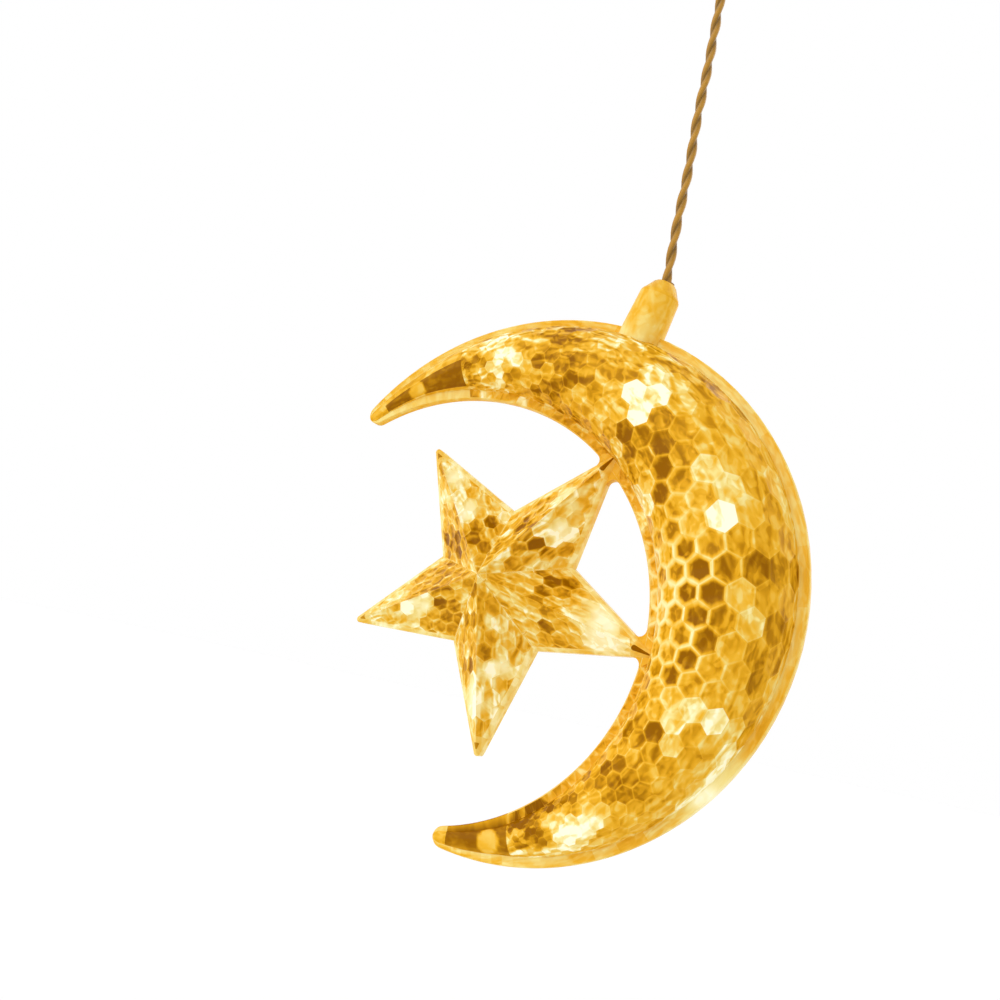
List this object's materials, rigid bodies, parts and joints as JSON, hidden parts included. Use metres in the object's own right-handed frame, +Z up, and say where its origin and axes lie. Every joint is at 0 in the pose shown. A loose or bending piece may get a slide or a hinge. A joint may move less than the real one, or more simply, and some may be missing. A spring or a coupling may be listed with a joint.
{
  "type": "lit crescent and star hanging ornament",
  "caption": "Lit hanging ornament: a domed crescent moon with a faceted star joined inside it, in clear golden plastic, hung from a hook by a twisted two-wire lead through a short neck.",
  "frame": {"origin": "centre of the fixing hole in the hook that the ornament hangs from", "axes": "+Z up along the hanging lead, -Y the ornament's front, +X to the right seen from the front"},
  "size_m": [0.1334, 0.0356, 0.2885],
  "materials": {
    "shell_plastic": "clear golden moulded plastic with a six-sided facet pattern, glossy",
    "grommet": "soft satin golden brown",
    "shrink_sleeve": "shrunk tubing, slightly wrinkled, satin",
    "light_lens": "clear warm white resin, glossy",
    "inner_wire": "clear golden insulation over a copper core",
    "lead_wire": "golden brown wire insulation, satin gloss",
    "fitting_plastic": "moulded golden plastic, satin gloss"
  },
  "bodies": {
    "hook": {"hanging_hook": "fitting_plastic"},
    "lead": {"drop_lead": "lead_wire", "lead_stop": "shrink_sleeve", "lead_end_eye": "fitting_plastic"},
    "ornament": {"front_shell": "shell_plastic", "back_shell": "shell_plastic", "cord_grommet": "grommet", "neck_splice": "shrink_sleeve", "moon_light_1": "light_lens", "moon_light_2": "light_lens", "moon_light_3": "light_lens", "moon_light_4": "light_lens", "moon_light_5": "light_lens", "star_light_1": "light_lens", "star_light_2": "light_lens", "star_light_3": "light_lens", "star_light_4": "light_lens", "star_light_5": "light_lens", "moon_light_sleeves": "shrink_sleeve", "star_light_sleeves": "shrink_sleeve", "moon_feed_wire": "inner_wire", "moon_return_wire": "inner_wire", "star_feed_wire": "inner_wire", "star_return_wire": "inner_wire", "star_ring_wire": "inner_wire"}
  },
  "joints": [
    {"name": "lead_swing", "type": "hinge", "parent": "hook", "child": "lead", "pos_m": [0, 0, -0.019], "axis": [0, 1, 0], "range_deg": [-60, 60]},
    {"name": "ornament_turn", "type": "hinge", "parent": "lead", "child": "ornament", "pos_m": [0, 0, -0.1247], "axis": [0, 0, 1], "range_deg": [-180, 180]}
  ]
}
